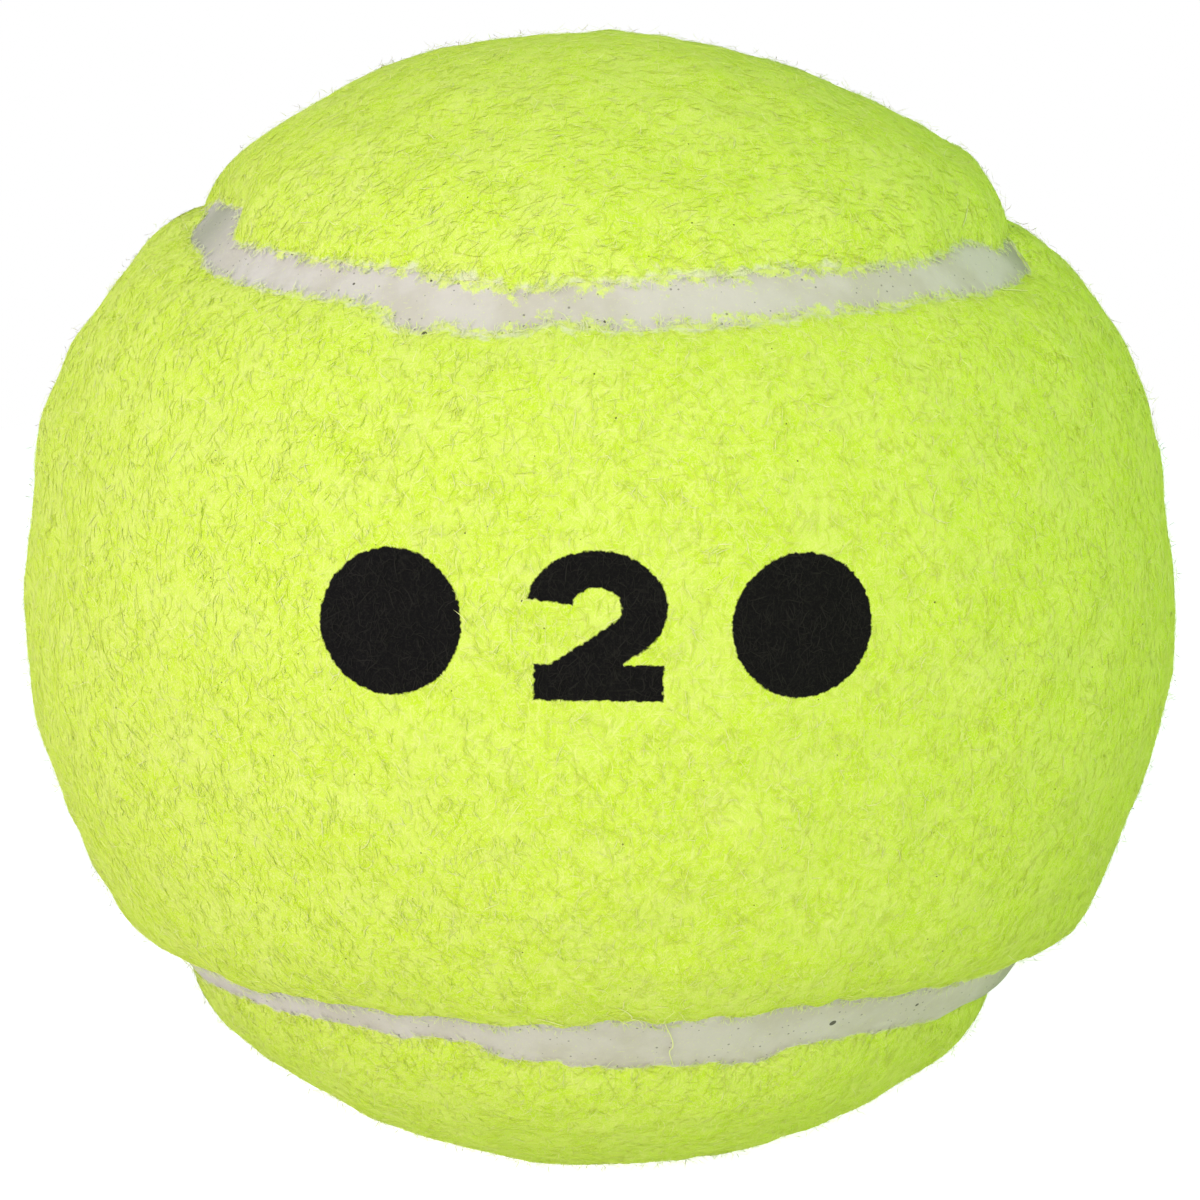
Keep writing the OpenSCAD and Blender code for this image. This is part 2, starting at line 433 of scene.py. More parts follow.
def fibre_paths(panel, roots, heading, kind, stand, rng):
    """Middle lines of fibres that lie on the felt. In the plane that touches the ball at the
    root a fibre's heading turns steadily with a wiggle on it, and its steps add up to its
    track. The track is laid back on the felt and raised by tuft + lift * sin(pi s) +
    tip * s^1.5, with s from 0 to 1 along it. The tuft is a share of the kind's highest tip,
    and the tip is that highest one times stand^1.5, more in the tufts than between them."""
    count = len(roots)
    level, other = tangents(roots)
    s = np.linspace(0, 1, FIBRE_RINGS)
    wiggle = rng.uniform(*WIGGLE, (count, 1)) * np.sin(
        2 * np.pi * (rng.uniform(*WIGGLE_WAVES, (count, 1)) * s + rng.uniform(0, 1, (count, 1))))
    angle = heading[:, None] + rng.normal(0, kind.bend, (count, 1)) * (s - 0.5) + wiggle
    step = rng.uniform(*kind.length, (count, 1)) / (FIBRE_RINGS - 1)
    track_x = np.cumsum(step * np.cos(angle), 1) - step * np.cos(angle[:, :1])
    track_y = np.cumsum(step * np.sin(angle), 1) - step * np.sin(angle[:, :1])
    across = track_x[..., None] * level[:, None]
    directions = unit(roots[:, None] + across + track_y[..., None] * other[:, None])
    radius = felt_radius(panel, directions, panel.inset(directions))
    lift = rng.uniform(*kind.lift, (count, 1))
    tuft = 0.5 + 0.5 * np.tanh(1.5 * waves(roots, TUFT_LENGTH, panel.seed + 20))[:, None]
    tip = stand[:, None] ** 1.5 * kind.tip * (TUFT_LEAST + (1 - TUFT_LEAST) * tuft)
    height = TUFT_HEIGHT * kind.tip * tuft + lift * np.sin(np.pi * s) + tip * s ** 1.5
    return directions * (radius + height)[..., None]


# A fibre's flatness, how much thinner its ends are, and how far its normals lean outwards
FIBRE_FLATNESS = 0.3
FIBRE_TAPER = 0.45
FIBRE_LEAN = 1.8


def fibre_tubes(paths, thickness):
    """Closed three-sided tubes along the paths: a point at each end and a ring of three
    points at each place between, on a flattened circle about the path. The normals lean
    towards the ball's radius, so that a fibre is shaded much like the felt under it. The last
    of what is returned is one fibre's count of points."""
    count, rings, _ = paths.shape
    forward = unit(np.gradient(paths, axis=1))
    side = unit(np.cross(forward, unit(paths)))
    upward = np.cross(side, forward)
    radial = unit(paths)
    s = np.linspace(0, 1, rings)[1:-1]
    radius = thickness[:, None] / 2 * (1 - FIBRE_TAPER * (2 * s - 1) ** 2)
    body = []
    leant = []
    for angle in np.radians([90, -30, -150]):
        out = np.cos(angle) * side[:, 1:-1]
        lift = np.sin(angle) * upward[:, 1:-1]
        body.append(paths[:, 1:-1] + (out + FIBRE_FLATNESS * lift) * radius[..., None])
        leant.append(unit(out + lift + FIBRE_LEAN * radial[:, 1:-1]))
    body = np.stack(body, 2).reshape(count, -1, 3)
    leant = np.stack(leant, 2).reshape(count, -1, 3)
    points = np.concatenate([paths[:, :1], body, paths[:, -1:]], 1)
    normals = np.concatenate([radial[:, :1], leant, radial[:, -1:]], 1)
    inner = rings - 2
    last = 1 + 3 * inner
    pattern = []
    for j in range(3):
        k = (j + 1) % 3
        pattern.append([0, 1 + k, 1 + j])
        for ring in range(inner - 1):
            low = 1 + 3 * ring
            pattern.append([low + j, low + k, low + 3 + k])
            pattern.append([low + j, low + 3 + k, low + 3 + j])
        pattern.append([last - 3 + j, last - 3 + k, last])
    size = points.shape[1]
    triangles = (np.array(pattern)[None] + size * np.arange(count)[:, None, None]).reshape(-1, 3)
    return points.reshape(-1, 3), normals.reshape(-1, 3), triangles, size


# The share of fibres that lie along the nap, its turn and how far they stray from it
COMBED_SHARE = 0.6
COMBED_TURN = 0.35
COMBED_SPREAD = 0.55
# How far inside the cut edge the fringe has its roots, and how far its headings stray
FRINGE_BAND = (-0.25, 0.5)
FRINGE_SPREAD = 1.2

# A kind of fibre: how many in a piece, the ranges of one's length, thickness and lift off the
# felt, how far its tip may stand out, how much it bends and how pale it is at least
Fibre = namedtuple("Fibre", "count length thickness lift tip bend pale")
MATTED = Fibre(12000, (0.4, 1.2), (0.040, 0.062), (0.0, 0.03), 0.03, 0.9, 0.0)
LOOSE = Fibre(12000, (0.35, 0.95), (0.024, 0.038), (0.0, 0.03), 0.09, 1.3, 0.0)
STANDING = Fibre(12000, (0.40, 0.95), (0.026, 0.038), (0.0, 0.03), 0.50, 1.1, 0.6)
FRINGE = Fibre(6000, (0.25, 0.6), (0.024, 0.042), (0.01, 0.05), 0.06, 1.5, 0.2)
# The nap's pieces on each panel: name, kind and how many
NAP_PIECES = (
    ("matted", MATTED, 1), ("loose", LOOSE, 3), ("standing", STANDING, 1), ("fringe", FRINGE, 1))


def fringe_roots(panel, count, rng):
    """Places along the cut edge, from just outside it to just inside it, and headings that
    stray from the way across the seam."""
    picked = rng.integers(0, EDGE_POINTS, count)
    inward = panel.edge_inward[picked]
    off = rng.uniform(*FRINGE_BAND, (count, 1)) / FELT_R
    roots = unit(panel.edge_line[picked] + inward * off) * EDGE_R
    level, other = tangents(roots)
    heading = np.arctan2(-np.sum(inward * other, 1), -np.sum(inward * level, 1))
    return roots, heading + rng.normal(0, FRINGE_SPREAD, count)


def nap_heading(count, rng):
    """Headings of fibres in the field: most lie along the nap, one way or the other, which is
    up and down on the waist of the front panel, and the rest lie all ways."""
    leaning = rng.normal(COMBED_TURN, COMBED_SPREAD, count)
    combed = np.pi / 2 + leaning + np.pi * rng.integers(0, 2, count)
    chosen = rng.uniform(0, 1, count) < COMBED_SHARE
    return np.where(chosen, combed, rng.uniform(0, 2 * np.pi, count))


def nap_piece(panel, name, kind, number, points, face, material):
    """One piece of the panel's nap, of one kind of fibre. Fibres that stand out are paler."""
    rng = np.random.default_rng([panel.seed, len(name), number])
    if kind is FRINGE:
        roots, heading = fringe_roots(panel, kind.count, rng)
    else:
        roots = roots_on(points, face, kind.count, rng)
        heading = nap_heading(kind.count, rng)
    stand = rng.uniform(0, 1, kind.count)
    paths = fibre_paths(panel, roots, heading, kind, stand, rng)
    thickness = rng.uniform(*kind.thickness, kind.count)
    tone = 0.5 * stand + 0.5 * rng.uniform(0, 1, kind.count)
    middles = unit(paths[:, FIBRE_RINGS // 2])
    ragged = raggedness(panel.place(middles), FELT_RAGGED)
    margin = np.maximum(panel.inset(middles), 0) / ragged
    return fibre_piece(f"nap_{name}_{panel.name}_{number + 1}", panel, paths, thickness,
                       kind.pale + (1 - kind.pale) * tone, margin, material)


def fibre_piece(name, panel, paths, thickness, tone, margin, material):
    """A piece of fibres along the paths, which are given in the panel's own place."""
    tubes, normals, triangles, size = fibre_tubes(paths, thickness)
    piece = make_piece(name, panel.place(tubes), triangles, material)
    set_values(piece, "tone", np.repeat(tone, size))
    set_values(piece, "margin", np.repeat(margin, size))
    set_bake_map(piece, len(paths), size)
    piece.data.normals_split_custom_set_from_vertices(panel.place(normals))
    return piece


# Single long fibres that lie across the seam or stand out: places along each, as angles in
# degrees round the ball from -Y to +X and up from the level
STRAYS = (
    ((5.7, -27.1), (6.0, -28.1), (6.5, -29.1), (6.9, -30.2), (7.0, -31.0), (6.6, -31.4),
     (7.0, -32.5), (7.4, -33.7)),
    ((1.5, -24.7), (2.4, -25.4), (2.9, -26.3), (2.8, -26.7), (3.6, -27.3), (4.1, -27.9)),
    ((-5.4, -26.6), (-4.6, -26.8), (-4.0, -27.1), (-3.3, -27.4), (-2.7, -27.9)),
    ((41.2, -31.8), (42.0, -31.6), (42.1, -30.9), (41.7, -30.1), (41.2, -29.5)),
    ((44.1, 40.6), (43.1, 39.7), (41.9, 38.8)),
    ((42.8, 33.0), (43.8, 32.8), (44.9, 32.7), (46.5, 32.7), (48.0, 32.6)))
# Points of each one's path, its thickness and how far it lies off the felt
STRAY_RINGS = 26
STRAY_THICKNESS = 0.06
STRAY_LIFT = 0.07


def stray_fibres(material):
    """The single long fibres. Each follows its places by even steps, smoothed three times with
    weights 1, 2, 1, and lies on whatever is highest there: either panel or the rubber."""
    paths = []
    for places in STRAYS:
        steps = np.linspace(0, len(places) - 1, STRAY_RINGS)
        line = np.stack([np.interp(steps, np.arange(len(places)), column)
                         for column in np.radians(places).T], 1)
        for _ in range(3):
            line[1:-1] = (line[:-2] + 2 * line[1:-1] + line[2:]) / 4
        azimuth, rise = line.T
        spots = np.stack([np.sin(azimuth) * np.cos(rise), -np.cos(azimuth) * np.cos(rise),
                          np.sin(rise)], -1)
        own = [(panel, panel.place(spots)) for panel in (FRONT, BACK)]
        radius = np.maximum(*(felt_radius(panel, there, panel.inset(there)) for panel, there in own))
        paths.append(spots * (radius + STRAY_LIFT)[:, None])
    each = np.ones(len(paths))
    return fibre_piece("stray_fibres", FRONT, np.array(paths), STRAY_THICKNESS * each, each,
                       EDGE_RUN * each, material)


def set_bake_map(piece, count, size):
    """A square of its own for each fibre on the map that colours are baked to: along the
    fibre to the right and round it upwards."""
    columns = int(np.ceil(np.sqrt(count)))
    rings = (size - 2) // 3
    along = np.concatenate([[0], np.repeat(np.arange(1, rings + 1), 3), [rings + 1]]) / (rings + 1)
    around = np.concatenate([[0.5], np.tile([0, 0.5, 1], rings), [0.5]])
    fibre = np.repeat(np.arange(count), size)
    u = (fibre % columns + 0.1 + 0.8 * np.tile(along, count)) / columns
    v = (fibre // columns + 0.1 + 0.8 * np.tile(around, count)) / columns
    corners = np.empty(len(piece.data.loops), np.int32)
    piece.data.loops.foreach_get("vertex_index", corners)
    layer = piece.data.uv_layers.new(name="OFBake")
    layer.data.foreach_set("uv", np.stack([u, v], 1)[corners].astype(np.float32).ravel())


# The rubber's uneven face: wavelength, height and seed of its waves
SEAM_GRAIN = ((3.1, 0.012, 7), (0.8, 0.003, 8))
# Where the rubber was squeezed out further: the turn, the reach along the seam and the height
SWELL_TURN = 299
SWELL_REACH = 6
SEAM_SWELL = 0.45
# Where the rubber is painted darker as shade, at its far ends in the front view, where the felt's edges
# rise over it: the turn and the reach
SEAM_SHADED_ENDS = ((121.5, 3.0), (58.0, 2.2), (300.0, 3.0))


def seam_rubber(material):
    """The seam's rubber: a closed loop whose section crosses the groove from one panel's edge
    to the other's and goes down beneath them, with a face that is slightly hollow and stands
    up in a bell of turns where more of it was squeezed out. Each point has its distance from
    the nearest cut edge, divided by how ragged the felt is there."""
    steps = 1400
    cuts = 12
    tuck = 0.4
    turns = np.linspace(0, 2 * np.pi, steps, endpoint=False)
    right = FRONT.edge(turns)
    left = BACK.edge(np.pi / 2 - turns)
    swell = SEAM_SWELL * np.exp(-((np.degrees(turns) - SWELL_TURN) / SWELL_REACH) ** 2)
    rings = []
    margins = []
    for share in np.linspace(0, 1, cuts + 1):
        distance = (right + tuck) * share - (left + tuck) * (1 - share)
        spots = beside_seam(turns, distance)
        hollow = SEAM_DIP * 4 * share * (1 - share)
        grain = sum(height * waves(spots * FELT_R, length, seed) for length, height, seed in SEAM_GRAIN)
        raised = swell * np.sin(np.pi * share)
        rings.append(spots * (SEAM_SIDE_R + raised - hollow + grain)[..., None])
        margin = -np.maximum(FRONT.inset(spots), BACK.inset(BACK.place(spots)))
        margins.append(margin / raggedness(spots, RUBBER_RAGGED))
    for side in (right + tuck, -left - tuck):
        rings.append(beside_seam(turns, side) * FELT_INNER_R)
        margins.append(np.full(steps, -tuck))
    points = np.concatenate(rings)
    numbers = [row * steps + np.arange(steps) for row in range(len(rings))]
    triangles = np.concatenate([
        triangles_between(low, high) for low, high in zip(numbers, numbers[1:] + numbers[:1])])
    piece = make_piece("seam_rubber", points, outwards(points, triangles), material)
    set_values(piece, "margin", np.concatenate(margins))
    # Painted shade at the rubber's far ends, where the felt's edges rise over it
    end_shade = sum(np.exp(-((np.degrees(turns) - turn) / reach) ** 2) for turn, reach in SEAM_SHADED_ENDS)
    set_values(piece, "end_shade", np.tile(end_shade, len(rings)))
    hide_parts("seam_cement")


class Nodes:
    """A node tree with short calls for what the materials below are made of."""

    def __init__(self, tree):
        self.tree = tree

    def add(self, kind, inputs=(), **settings):
        """A node with its settings, and its inputs by name or number: values or other sockets."""
        node = self.tree.nodes.new(kind)
        for name, value in settings.items():
            setattr(node, name, value)
        for name, value in dict(inputs).items():
            self.feed(node.inputs[name], value)
        return node

    def feed(self, socket, value):
        """A socket linked to another one, or set to a plain value."""
        if isinstance(value, bpy.types.NodeSocket):
            self.tree.links.new(value, socket)
        else:
            socket.default_value = value

    def math(self, operation, *values):
        """One Math node of the operation on one or two values or sockets."""
        return self.add("ShaderNodeMath", enumerate(values), operation=operation).outputs[0]

    def plus(self, a, b):
        """The sum of two values or sockets, as below their difference and their product."""
        return self.math("ADD", a, b)

    def minus(self, a, b):
        return self.math("SUBTRACT", a, b)

    def times(self, a, b):
        return self.math("MULTIPLY", a, b)

    def ramp(self, value, low, high, to_low=0.0, to_high=1.0):
        """A value brought smoothly from one range to another and held at its ends."""
        node = self.add("ShaderNodeMapRange", enumerate((value, low, high, to_low, to_high)),
                        interpolation_type="SMOOTHSTEP")
        return node.outputs[0]

    def noise(self, vector, scale, detail=1.0, roughness=0.5):
        """A noise's value at a place, about 0.5."""
        node = self.add("ShaderNodeTexNoise", {
            "Vector": vector, "Scale": scale, "Detail": detail, "Roughness": roughness})
        return node.outputs["Fac"]

    def mix(self, share, low, high):
        """A colour between two others."""
        return self.add("ShaderNodeMix", {0: share, 6: low, 7: high}, data_type="RGBA").outputs[2]

    def value(self, name):
        """A named number that a piece's points have."""
        return self.add("ShaderNodeAttribute", attribute_name=name).outputs["Fac"]

    def group(self, tree, where, **values):
        """The result of a group at a place, with its values by name."""
        node = self.add("ShaderNodeGroup", {"Vector": where, **values}, node_tree=tree)
        return node.outputs[0]


def new_group(name, values, result):
    """An empty shader group that makes one result of a place, Vector, and of named values: its
    nodes, what it is given and its output node."""
    tree = bpy.data.node_groups.new(name, "ShaderNodeTree")
    tree.interface.new_socket("Vector", in_out="INPUT", socket_type="NodeSocketVector")
    for label in values:
        tree.interface.new_socket(label, in_out="INPUT", socket_type="NodeSocketFloat")
    tree.interface.new_socket(result, in_out="OUTPUT", socket_type="NodeSocketFloat")
    nodes = Nodes(tree)
    return nodes, nodes.add("NodeGroupInput").outputs, nodes.add("NodeGroupOutput")


# The ways in which the felt's strands run, as turn and rise
STRAND_WAYS = ((0, 0), (0, 90), (90, 90), (0, 45), (90, 45), (180, 45), (270, 45))
# How much longer than wide a strand is, the scale and reach of its bends, and its soft edge
STRAND_LENGTH = 11.0
BEND_SCALE = 0.13
STRAND_BEND = 3.0
STRAND_FADE = 0.12


def strand_group():
    """Fine straight strands that lie all ways: for each way a noise that is drawn out along it
    and bent a little by a broader one, of which the highest parts are kept."""
    nodes, given, out = new_group("Felt strands", ("Scale", "Share"), "Strands")
    scaled = nodes.add("ShaderNodeVectorMath", {0: given["Vector"], "Scale": given["Scale"]},
                       operation="SCALE").outputs[0]
    broad = nodes.add("ShaderNodeTexNoise", {"Vector": scaled, "Scale": BEND_SCALE, "Detail": 1.0})
    bend = nodes.add("ShaderNodeVectorMath", {0: broad.outputs["Color"], "Scale": STRAND_BEND},
                     operation="SCALE").outputs[0]
    bent = nodes.add("ShaderNodeVectorMath", {0: scaled, 1: bend}, operation="ADD").outputs[0]
    limit = nodes.minus(1.0, given["Share"])
    total = None
    for azimuth, rise in STRAND_WAYS:
        drawn = nodes.add("ShaderNodeMapping", {
            "Vector": bent, "Location": (azimuth * 0.1, rise * 0.1, 0.0),
            "Rotation": (np.radians(rise), 0.0, np.radians(azimuth)),
            "Scale": (1.0, 1.0, STRAND_LENGTH)}, vector_type="TEXTURE")
        found = nodes.ramp(nodes.noise(drawn.outputs[0], 1.0, 0.0), limit, nodes.plus(limit, STRAND_FADE))
        total = found if total is None else nodes.math("MAXIMUM", total, found)
    nodes.feed(out.inputs[0], total)
    return nodes.tree


def speck_group():
    """Tiny specks far apart: the near surroundings of random cell centres, in the few cells
    whose random value is high. Their sizes are 0.35 to 1.35 times the given one."""
    nodes, given, out = new_group("Specks", ("Scale", "Size", "Share"), "Specks")
    cells = nodes.add("ShaderNodeTexVoronoi", {
        "Vector": given["Vector"], "Scale": given["Scale"]})
    parts = nodes.add("ShaderNodeSeparateColor", {0: cells.outputs["Color"]})
    limit = nodes.minus(1.0, given["Share"])
    chosen = nodes.math("GREATER_THAN", parts.outputs[0], limit)
    size = nodes.times(given["Size"], nodes.plus(parts.outputs[1], 0.35))
    dot = nodes.math("LESS_THAN", cells.outputs["Distance"], size)
    nodes.feed(out.inputs[0], nodes.times(chosen, dot))
    return nodes.tree


# The printed mark, a plain figure two between two round dots, on the front panel's waist: its
# middle, the distance from there to each dot, and the dots' radius
MARK_X = -0.27
MARK_Z = 3.33
MARK_PITCH = 8.2
DOT_R = 2.9
# The figure's height, how much wider than its plan it is, and its stroke's width
FIGURE_H = 5.9
FIGURE_STRETCH = 1.25
STROKE = 1.45
# The bow's radius, its first and last angle, how far the neck runs back into it, and how much
# the foot is cut on both sides and on the left
BOW_R = 1.5
BOW_FROM = np.radians(172)
BOW_TO = np.radians(-50)
NECK_OVERLAP = 0.3
FOOT_CUT = 0.1
FOOT_LEFT_CUT = 0.15
# How ragged the ink's edge is and how finely, and where the ink fades out
INK_RAGGEDNESS = 0.22
INK_GRAIN = 4200
INK_FADE = (-0.05, 0.03)


def mark_group():
    """Where the ink lies: how far a point is inside the nearest of the mark's shapes, seen
    along Y, with a ragged edge. A dot is a circle, a bar is the larger of the distances
    along and across it, and the figure's bow is a ring cut off below its middle."""
    nodes, given, out = new_group("Printed mark", (), "Ink")
    place = nodes.add("ShaderNodeSeparateXYZ", {0: given["Vector"]})
    x = nodes.minus(nodes.math("DIVIDE", place.outputs[0], MM), MARK_X)
    z = nodes.minus(nodes.math("DIVIDE", place.outputs[2], MM), MARK_Z)

    def from_point(x, px, pz):
        dx = nodes.minus(x, px)
        dz = nodes.minus(z, pz)
        square = nodes.plus(nodes.times(dx, dx), nodes.times(dz, dz))
        return nodes.math("SQRT", square)

    plan_x = nodes.math("DIVIDE", x, FIGURE_STRETCH)

    def bar(x0, z0, x1, z1):
        length = np.hypot(x1 - x0, z1 - z0)
        cos, sin = (x1 - x0) / length, (z1 - z0) / length
        dx = nodes.minus(plan_x, (x0 + x1) / 2)
        dz = nodes.minus(z, (z0 + z1) / 2)
        along = nodes.plus(nodes.times(dx, cos), nodes.times(dz, sin))
        across = nodes.minus(nodes.times(dz, cos), nodes.times(dx, sin))
        off_end = nodes.minus(nodes.math("ABSOLUTE", along), length / 2)
        off_side = nodes.minus(nodes.math("ABSOLUTE", across), STROKE / 2)
        return nodes.math("MAXIMUM", off_end, off_side)

    bow_z = FIGURE_H / 2 - STROKE / 2 - BOW_R
    off_bow = nodes.math("ABSOLUTE", nodes.minus(from_point(plan_x, 0, bow_z), BOW_R))
    ring = nodes.minus(off_bow, STROKE / 2)
    above = nodes.minus(z, bow_z)
    past_start = nodes.plus(nodes.times(plan_x, -np.sin(BOW_FROM)), nodes.times(above, np.cos(BOW_FROM)))
    past_end = nodes.plus(nodes.times(plan_x, np.sin(BOW_TO)), nodes.times(above, -np.cos(BOW_TO)))
    bow = nodes.math("MAXIMUM", ring, nodes.math("MINIMUM", past_start, past_end))
    foot_z = -FIGURE_H / 2 + STROKE / 2
    neck_x, neck_z = BOW_R * np.cos(BOW_TO), bow_z + BOW_R * np.sin(BOW_TO)
    neck_run = (neck_z - foot_z) / np.cos(BOW_TO)
    neck = bar(neck_x - NECK_OVERLAP * np.sin(BOW_TO), neck_z + NECK_OVERLAP * np.cos(BOW_TO),
               neck_x + neck_run * np.sin(BOW_TO), foot_z)
    foot_half = BOW_R + STROKE / 2 - FOOT_CUT
    foot = bar(-foot_half + FOOT_LEFT_CUT, foot_z, foot_half, foot_z)
    nearest = nodes.math("MINIMUM", nodes.math("MINIMUM", bow, neck), foot)
    for side in (-1, 1):
        dot = nodes.minus(from_point(x, side * MARK_PITCH, 0), DOT_R)
        nearest = nodes.math("MINIMUM", nearest, dot)
    grain = nodes.minus(nodes.noise(given["Vector"], INK_GRAIN, 2.0), 0.5)
    ragged = nodes.times(grain, INK_RAGGEDNESS)
    ink = nodes.ramp(nodes.plus(nearest, ragged), *INK_FADE, 1.0, 0.0)
    front = nodes.math("LESS_THAN", place.outputs[1], 0.0)
    nodes.feed(out.inputs[0], nodes.times(ink, front))
    return nodes.tree


STRANDS = strand_group()
SPECKS = speck_group()
MARK = mark_group()


# Colours in linear light
FELT_DEEP = (0.64, 0.90, 0.035, 1.0)
FELT_BODY = (0.72, 0.94, 0.085, 1.0)
FELT_TIP = (0.87, 0.99, 0.27, 1.0)
FELT_SMEARED = (0.84, 0.87, 0.60, 1.0)
FIBRE_BODY = (0.76, 0.96, 0.10, 1.0)
FIBRE_TIP = (0.92, 0.99, 0.42, 1.0)
INK = (0.006, 0.006, 0.006, 1.0)
INK_FIBRE = (0.018, 0.018, 0.015, 1.0)
DIRT = (0.10, 0.11, 0.03, 1.0)
SEAM_GREY = (0.64, 0.61, 0.515, 1.0)
SEAM_PALE = (0.72, 0.69, 0.62, 1.0)
# Painted shade on the rubber at its far ends
SEAM_END_SHADE = (0.44, 0.45, 0.34, 1.0)
# Near black, painted in the rubber's pits as the shade in them
SEAM_PIT_SHADE = (0.06, 0.06, 0.035, 1.0)
CORE_RUBBER = (0.07, 0.065, 0.06, 1.0)
CEMENT = (0.69, 0.58, 0.37, 1.0)


def new_material(name, roughness, specular=0.2):
    """A material, its nodes, its Principled shader with the plain sockets set, and the places
    on its pieces."""
    material = bpy.data.materials.new(name)
    material.use_nodes = True
    nodes = Nodes(material.node_tree)
    shader = material.node_tree.nodes["Principled BSDF"]
    shader.inputs["Roughness"].default_value = roughness
    shader.inputs["Specular IOR Level"].default_value = specular
    return material, nodes, shader, nodes.add("ShaderNodeTexCoord").outputs["Object"]


def roughen(nodes, shader, strength, depth, height):
    """A bump of a height from 0 to 1, which stands for a depth in metres."""
    bump = nodes.add("ShaderNodeBump", {"Strength": strength, "Distance": depth, "Height": height})
    nodes.feed(shader.inputs["Normal"], bump.outputs[0])


def felt_colour(nodes, where):
    """The matted felt's colour and the height of its strands: strands of two sizes over a
    mottled ground, under a haze of paler patches."""
    fine = nodes.group(STRANDS, where, Scale=16000.0, Share=0.33)
    wide = nodes.group(STRANDS, where, Scale=10000.0, Share=0.30)
    mottle = nodes.ramp(nodes.noise(where, 1600, 3.0, 0.65), 0.35, 0.65)
    felt = nodes.mix(mottle, FELT_DEEP, FELT_BODY)
    felt = nodes.mix(nodes.times(fine, 0.7), felt, FELT_TIP)
    felt = nodes.mix(nodes.times(wide, 0.7), felt, FELT_TIP)
    haze = nodes.ramp(nodes.noise(where, 420, 3.0, 0.6), 0.40, 0.70, 0.0, 0.3)
    return nodes.mix(haze, felt, FELT_TIP), nodes.plus(fine, wide)


def soiled(nodes, where, margin, colour):
    """A felt's colour with rubber smeared on it in patches near its cut edge, and with tiny
    dark specks."""
    reach = nodes.times(nodes.noise(where, 1400, 3.0, 0.6), 1.6)
    smear = nodes.ramp(nodes.minus(reach, margin), 0.45, 0.95, 0.0, 0.8)
    colour = nodes.mix(smear, colour, FELT_SMEARED)
    spots = nodes.group(SPECKS, where, Scale=2200.0, Size=0.075, Share=0.13)
    return nodes.mix(nodes.times(spots, 0.85), colour, DIRT)


def rubber_colour(nodes, where, end_shade):
    """The seam rubber's colour: a mottled ground with painted shade in places, with a few short
    fibres pressed into it."""
    mottle = nodes.ramp(nodes.noise(where, 350, 4.0, 0.6), 0.35, 0.65)
    colour = nodes.mix(mottle, SEAM_GREY, SEAM_PALE)
    colour = nodes.mix(end_shade, colour, SEAM_END_SHADE)
    pressed = nodes.group(STRANDS, where, Scale=13000.0, Share=0.24)
    return nodes.mix(nodes.times(pressed, 0.35), colour, FELT_TIP)


def shaded_rubber_pits(nodes, where, margin):
    """Pits in the rubber, painted near black as the shade in them: small ones, of which most are
    near the felt's edges, and there a few large ones, as shade in the crack along the felt."""
    share = nodes.ramp(margin, 0.0, 0.6, 0.7, 0.45)
    small = nodes.group(SPECKS, where, Scale=3300.0, Size=0.15, Share=share)
    share = nodes.ramp(margin, 0.0, 0.5, 0.5, 0.05)
    large = nodes.group(SPECKS, where, Scale=1100.0, Size=0.15, Share=share)
    return nodes.math("MAXIMUM", nodes.times(small, 0.55), nodes.times(large, 0.9))


def felt_over_rubber(nodes, where, strands):
    """How far the felt's fibres hold on beyond their cut edge at a place, in millimetres: a
    ragged line of two noises with strands on it."""
    broad = nodes.times(nodes.minus(nodes.noise(where, 1500, 2.0), 0.5), 2.0)
    fine = nodes.times(nodes.minus(nodes.noise(where, 5200, 2.0), 0.5), 1.1)
    return nodes.plus(nodes.plus(broad, fine), nodes.times(strands, 0.15))


def cloth_material():
    """The matted felt under the loose fibres, with the mark's ink."""
    material, nodes, shader, where = new_material("Felt cloth", 0.95, 0.08)
    felt, strands = felt_colour(nodes, where)
    margin = nodes.value("margin")
    felt = soiled(nodes, where, margin, felt)
    ink = nodes.group(MARK, where)
    wet = nodes.mix(nodes.times(strands, 0.5), INK, INK_FIBRE)
    nodes.feed(shader.inputs["Base Color"], nodes.mix(ink, felt, wet))
    roughen(nodes, shader, 0.35, 0.00002, strands)
    return material


def nap_material():
    """The loose fibres: each has its own tone, and ink on it where it lies in the mark."""
    material, nodes, shader, where = new_material("Felt nap", 0.85, 0.1)
    tone = nodes.value("tone")
    colour = nodes.mix(nodes.ramp(tone, 0.0, 0.4), FELT_BODY, FIBRE_BODY)
    colour = nodes.mix(nodes.ramp(tone, 0.6, 1.0), colour, FIBRE_TIP)
    margin = nodes.value("margin")
    colour = soiled(nodes, where, margin, colour)
    ink = nodes.group(MARK, where)
    inked = nodes.times(ink, nodes.math("LESS_THAN", tone, 0.985))
    nodes.feed(shader.inputs["Base Color"], nodes.mix(inked, colour, INK_FIBRE))
    return material


def seam_material():
    """Pale grey rubber, mottled and pitted, with painted shade in its pits and at its far ends, and with
    felt that holds on along its two borders.
    """
    material, nodes, shader, where = new_material("Seam rubber", 0.7)
    margin = nodes.value("margin")
    end_shade = nodes.value("end_shade")
    rubber = rubber_colour(nodes, where, end_shade)
    pits_and_shade = shaded_rubber_pits(nodes, where, margin)
    felt, strands = felt_colour(nodes, where)
    felt = nodes.mix(0.4, felt, FELT_TIP)
    reach = felt_over_rubber(nodes, where, strands)
    covered = nodes.ramp(nodes.minus(reach, margin), -0.40, 0.15, 0.0, 0.88)
    colour = nodes.mix(covered, rubber, felt)
    # The pits are painted dark as their shade
    nodes.feed(shader.inputs["Base Color"], nodes.mix(pits_and_shade, colour, SEAM_PIT_SHADE))
    height = nodes.plus(nodes.minus(nodes.noise(where, 2500, 3.0), pits_and_shade), covered)
    roughen(nodes, shader, 0.4, 0.00005, height)
    return material


